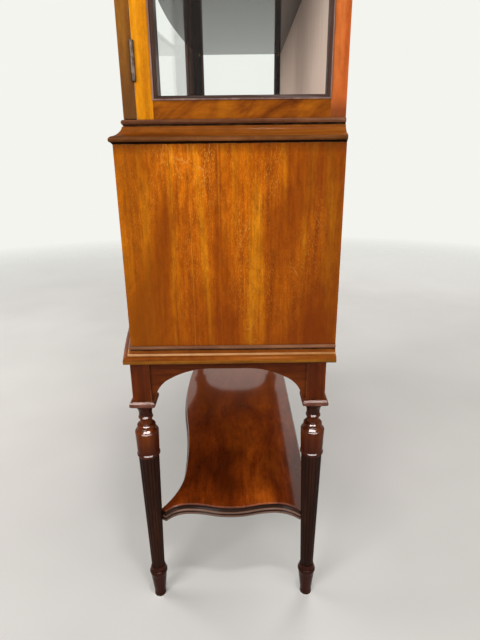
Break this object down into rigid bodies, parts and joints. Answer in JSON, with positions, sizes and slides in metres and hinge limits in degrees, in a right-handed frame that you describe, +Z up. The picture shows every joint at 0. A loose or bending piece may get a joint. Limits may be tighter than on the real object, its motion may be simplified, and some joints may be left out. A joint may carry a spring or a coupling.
{
  "type": "display cabinet",
  "caption": "Bow-fronted display cabinet: glazed top with shelves over a closed cupboard, on a stand with turned reeded legs, arched aprons and a shaped undertier.",
  "frame": {"origin": "on the floor under the middle of the cabinet's overall box", "axes": "+Z up, +X towards the cabinet's right-hand end as seen from the front, front towards -Y"},
  "size_m": [1.326, 0.476, 1.8965],
  "materials": {
    "veneered_wood": "french polished satinwood or figured mahogany veneer, high gloss",
    "moulding_wood": "polished mahogany, darkened in the hollows",
    "stand_wood": "polished dark red mahogany",
    "plain_wood": "plain sawn softwood, unpolished",
    "glass": "clear sheet glass",
    "lining_cloth": "pinkish taupe woven cloth stretched on board",
    "hinge_brass": "tarnished brass",
    "bright_brass": "worn polished brass",
    "lock_steel": "plain filed steel"
  },
  "bodies": {
    "cabinet": {"apron_back": "stand_wood", "apron_front": "stand_wood", "apron_left": "stand_wood", "apron_right": "stand_wood", "back_lining_board": "lining_cloth", "base_moulding": "moulding_wood", "case_back": "plain_wood", "case_floor": "veneered_wood", "case_side_left": "veneered_wood", "case_side_right": "veneered_wood", "case_top": "veneered_wood", "cornice": "moulding_wood", "end_beads_left": "moulding_wood", "end_beads_right": "moulding_wood", "end_frame_left": "veneered_wood", "end_frame_right": "veneered_wood", "end_glass_left": "glass", "end_glass_right": "glass", "hinge_fixed_leaves": "hinge_brass", "hinge_pins": "hinge_brass", "leg_back_left": "stand_wood", "leg_back_right": "stand_wood", "leg_front_left": "stand_wood", "leg_front_right": "stand_wood", "shelf_lower": "veneered_wood", "shelf_studs": "bright_brass", "shelf_upper": "veneered_wood", "stand_corner_blocks": "plain_wood", "undertier": "stand_wood", "vitrine_back": "plain_wood", "vitrine_frieze": "veneered_wood", "vitrine_plinth": "veneered_wood", "vitrine_top": "veneered_wood", "waist_moulding": "moulding_wood"},
    "right_glazed_door": {"glazed_door_right_frame": "veneered_wood", "glazed_door_right_glass": "glass", "glazed_door_right_beads": "moulding_wood", "glazed_hinge_leaves_right": "hinge_brass", "glazed_lock": "lock_steel", "glazed_escutcheon": "bright_brass"},
    "left_glazed_door": {"glazed_door_left_frame": "veneered_wood", "glazed_door_left_glass": "glass", "glazed_door_left_beads": "moulding_wood", "glazed_hinge_leaves_left": "hinge_brass"},
    "glazed_door_key": {"glazed_key": "lock_steel"},
    "glazed_door_bolt": {"glazed_lock_bolt": "lock_steel"},
    "glazed_top_slip_bolt": {"glazed_slip_bolt_top": "bright_brass"},
    "glazed_bottom_slip_bolt": {"glazed_slip_bolt_bottom": "bright_brass"},
    "right_cupboard_door": {"cupboard_door_right_frame": "veneered_wood", "cupboard_door_right_panel": "veneered_wood", "cupboard_hinge_leaves_right": "hinge_brass", "cupboard_lock": "lock_steel", "cupboard_escutcheon": "bright_brass"},
    "left_cupboard_door": {"cupboard_door_left_frame": "veneered_wood", "cupboard_door_left_panel": "veneered_wood", "cupboard_hinge_leaves_left": "hinge_brass"},
    "cupboard_door_key": {"cupboard_key": "lock_steel"},
    "cupboard_door_bolt": {"cupboard_lock_bolt": "lock_steel"},
    "cupboard_top_slip_bolt": {"cupboard_slip_bolt_top": "bright_brass"},
    "cupboard_bottom_slip_bolt": {"cupboard_slip_bolt_bottom": "bright_brass"}
  },
  "joints": [
    {"name": "right_glazed_door_hinge", "type": "hinge", "parent": "cabinet", "child": "right_glazed_door", "pos_m": [0.62697, -0.11224, 1.428], "axis": [0, 0, 1], "range_deg": [0, 170]},
    {"name": "left_glazed_door_hinge", "type": "hinge", "parent": "cabinet", "child": "left_glazed_door", "pos_m": [-0.62697, -0.11224, 1.428], "axis": [0, 0, -1], "range_deg": [0, 170]},
    {"name": "right_cupboard_door_hinge", "type": "hinge", "parent": "cabinet", "child": "right_cupboard_door", "pos_m": [0.6205, -0.15145, 0.813], "axis": [0, 0, 1], "range_deg": [0, 100]},
    {"name": "left_cupboard_door_hinge", "type": "hinge", "parent": "cabinet", "child": "left_cupboard_door", "pos_m": [-0.6205, -0.15145, 0.813], "axis": [0, 0, -1], "range_deg": [0, 100]},
    {"name": "glazed_key_turn", "type": "hinge", "parent": "right_glazed_door", "child": "glazed_door_key", "pos_m": [0.018, -0.18896, 1.428], "axis": [0, 1, 0], "range_deg": [0, 90]},
    {"name": "glazed_bolt_throw", "type": "slide", "parent": "right_glazed_door", "child": "glazed_door_bolt", "axis": [-1, 0, 0], "range_m": [0, 0.00601]},
    {"name": "glazed_top_slip_bolt_slide", "type": "slide", "parent": "left_glazed_door", "child": "glazed_top_slip_bolt", "axis": [0, 0, 1], "range_m": [0, 0.008]},
    {"name": "glazed_bottom_slip_bolt_slide", "type": "slide", "parent": "left_glazed_door", "child": "glazed_bottom_slip_bolt", "axis": [0, 0, -1], "range_m": [0, 0.008]},
    {"name": "cupboard_key_turn", "type": "hinge", "parent": "right_cupboard_door", "child": "cupboard_door_key", "pos_m": [0.018, -0.20996, 0.8305], "axis": [0, 1, 0], "range_deg": [0, 90]},
    {"name": "cupboard_bolt_throw", "type": "slide", "parent": "right_cupboard_door", "child": "cupboard_door_bolt", "axis": [-1, 0, 0], "range_m": [0, 0.00601]},
    {"name": "cupboard_top_slip_bolt_slide", "type": "slide", "parent": "left_cupboard_door", "child": "cupboard_top_slip_bolt", "axis": [0, 0, 1], "range_m": [0, 0.008]},
    {"name": "cupboard_bottom_slip_bolt_slide", "type": "slide", "parent": "left_cupboard_door", "child": "cupboard_bottom_slip_bolt", "axis": [0, 0, -1], "range_m": [0, 0.008]}
  ],
  "couplings": [
    {"joint": "glazed_bolt_throw", "follows": "glazed_key_turn", "m_per_rad": 0.0038197},
    {"joint": "cupboard_bolt_throw", "follows": "cupboard_key_turn", "m_per_rad": 0.0038197}
  ]
}
